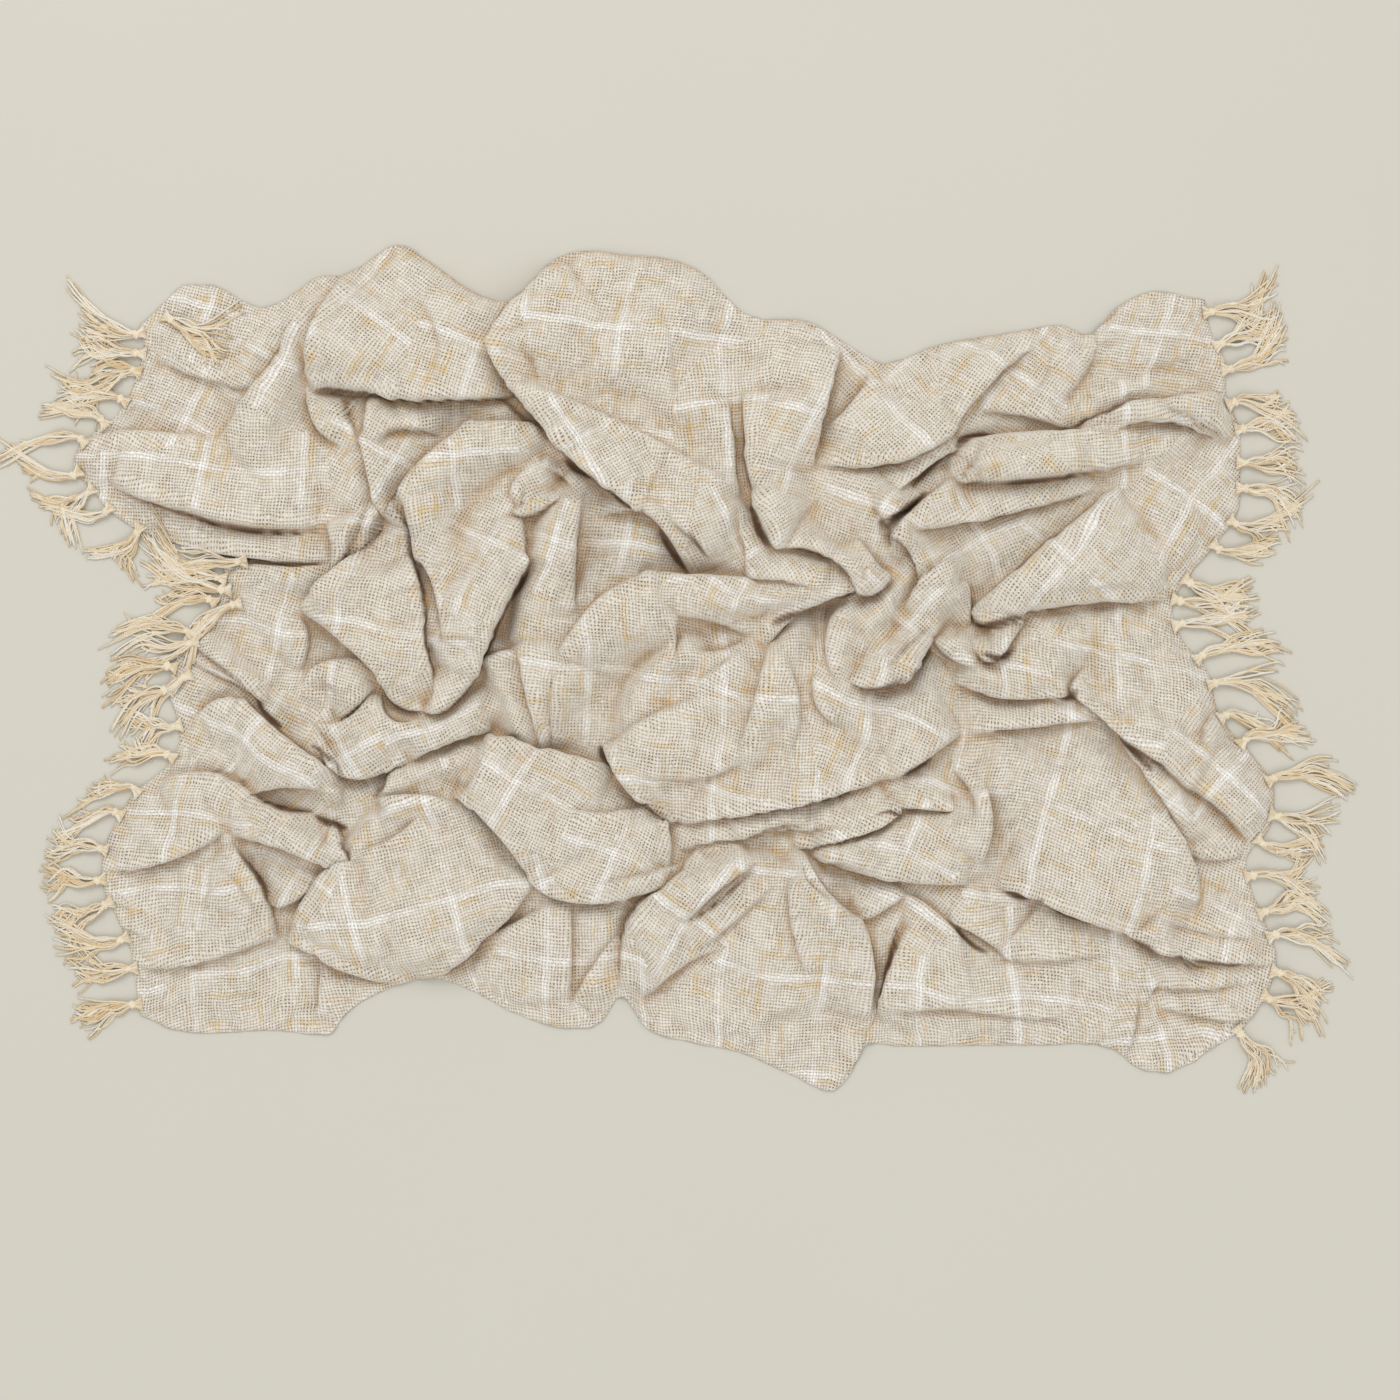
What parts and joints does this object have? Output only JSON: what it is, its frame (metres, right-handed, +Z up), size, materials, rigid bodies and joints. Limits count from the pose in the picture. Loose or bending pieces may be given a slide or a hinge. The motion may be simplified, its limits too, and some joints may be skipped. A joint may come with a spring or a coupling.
{
  "type": "throw blanket",
  "caption": "Crumpled open-weave throw blanket lying in a low heap on the floor, with knotted fringe along both short ends",
  "frame": {"origin": "centre of the overall box in plan, at the floor", "axes": "+X runs along the longest side from the left fringed end to the right one, +Y to the back, +Z up from the floor"},
  "size_m": [1.4094, 0.8852, 0.066],
  "materials": {
    "cloth": "open plain weave of slub yarn, matt, beige with a wide cream check and thin mustard lines",
    "fringe": "knotted loose yarn, matt, cream with some mustard"
  },
  "bodies": {
    "root": {"cloth": "cloth", "tassel_left_01": "fringe", "tassel_left_02": "fringe", "tassel_left_03": "fringe", "tassel_left_04": "fringe", "tassel_left_05": "fringe", "tassel_left_06": "fringe", "tassel_left_07": "fringe", "tassel_left_08": "fringe", "tassel_left_09": "fringe", "tassel_left_10": "fringe", "tassel_left_11": "fringe", "tassel_left_12": "fringe", "tassel_left_13": "fringe", "tassel_left_14": "fringe", "tassel_left_15": "fringe", "tassel_left_16": "fringe", "tassel_left_17": "fringe", "tassel_left_18": "fringe", "tassel_left_19": "fringe", "tassel_left_20": "fringe", "tassel_left_21": "fringe", "tassel_left_22": "fringe", "tassel_left_23": "fringe", "tassel_left_24": "fringe", "tassel_left_25": "fringe", "tassel_right_01": "fringe", "tassel_right_02": "fringe", "tassel_right_03": "fringe", "tassel_right_04": "fringe", "tassel_right_05": "fringe", "tassel_right_06": "fringe", "tassel_right_07": "fringe", "tassel_right_08": "fringe", "tassel_right_09": "fringe", "tassel_right_10": "fringe", "tassel_right_11": "fringe", "tassel_right_12": "fringe", "tassel_right_13": "fringe", "tassel_right_14": "fringe", "tassel_right_15": "fringe", "tassel_right_16": "fringe", "tassel_right_17": "fringe", "tassel_right_18": "fringe", "tassel_right_19": "fringe", "tassel_right_20": "fringe", "tassel_right_21": "fringe", "tassel_right_22": "fringe", "tassel_right_23": "fringe", "tassel_right_24": "fringe", "tassel_right_25": "fringe"}
  },
  "joints": []
}
